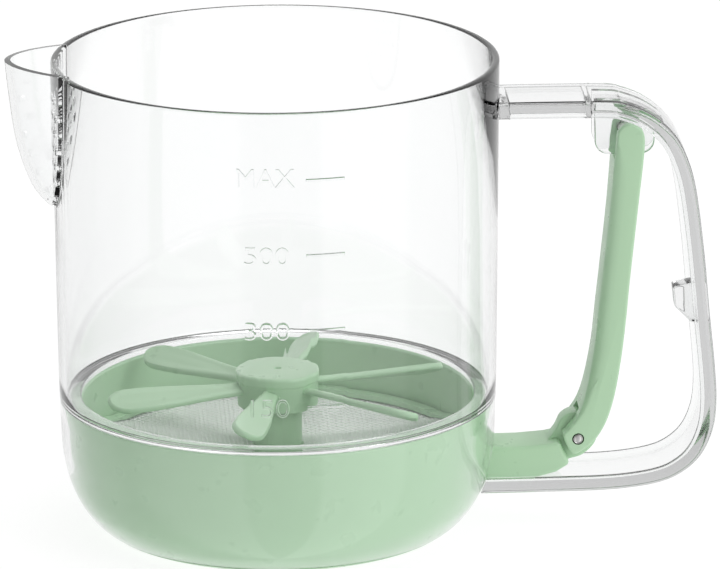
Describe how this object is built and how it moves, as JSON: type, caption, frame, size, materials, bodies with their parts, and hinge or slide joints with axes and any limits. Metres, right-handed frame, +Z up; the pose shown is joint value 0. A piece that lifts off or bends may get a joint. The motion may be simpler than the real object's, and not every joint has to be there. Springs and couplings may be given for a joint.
{
  "type": "flour sifter",
  "caption": "Squeeze-handle cup sifter: clear jug with spout, D handle, hinged lever, rack-driven impeller over a mesh in a rounded base.",
  "frame": {"origin": "middle of the footprint, on the surface that the base stands on", "axes": "+Z up, +X from the spout towards the handle, +Y to the right of someone holding the handle with the spout pointing away"},
  "size_m": [0.1808, 0.114, 0.1241],
  "materials": {
    "clear_plastic": "clear polished plastic",
    "green_plastic": "satin pale mint",
    "steel_mesh": "fine woven wire",
    "steel": "plain steel",
    "white_plastic": "natural white",
    "bronze": "sintered bronze"
  },
  "bodies": {
    "jug": {"cup": "clear_plastic", "handle": "clear_plastic", "sieve_bowl": "green_plastic", "sieve_mesh": "steel_mesh", "mesh_ring": "green_plastic", "crossbar": "green_plastic", "crossbar_cover": "green_plastic", "cover_screw_1": "steel", "cover_screw_2": "steel", "cover_screw_3": "steel", "cover_screw_4": "steel", "shaft_bush": "bronze", "return_spring": "steel", "lever_pivot_pin": "steel"},
    "lever": {"lever": "green_plastic", "lever_foot_pin": "steel"},
    "rack": {"rack_arm": "green_plastic"},
    "impeller": {"impeller": "green_plastic", "impeller_shaft": "steel", "pinion": "white_plastic", "thrust_washer": "white_plastic", "shaft_clip": "steel"}
  },
  "joints": [
    {"name": "lever_swing", "type": "hinge", "parent": "jug", "child": "lever", "pos_m": [0.0675, 0, 0.103], "axis": [0, -1, 0], "range_deg": [0, 14.5], "stiffness_Nm_per_rad": 1, "springref_deg": -8.59, "deforming": ["return_spring"]},
    {"name": "rack_slide", "type": "slide", "parent": "jug", "child": "rack", "axis": [1, 0, 0], "range_m": [0, 0.0206]},
    {"name": "impeller_spin", "type": "hinge", "parent": "jug", "child": "impeller", "pos_m": [-0.0218, 0, 0.0356], "axis": [0, 0, 1], "range_deg": [0, 197]}
  ],
  "couplings": [
    {"joint": "rack_slide", "follows": "lever_swing", "m_per_rad": 0.08072},
    {"joint": "impeller_spin", "follows": "lever_swing", "ratio": 13.453}
  ]
}
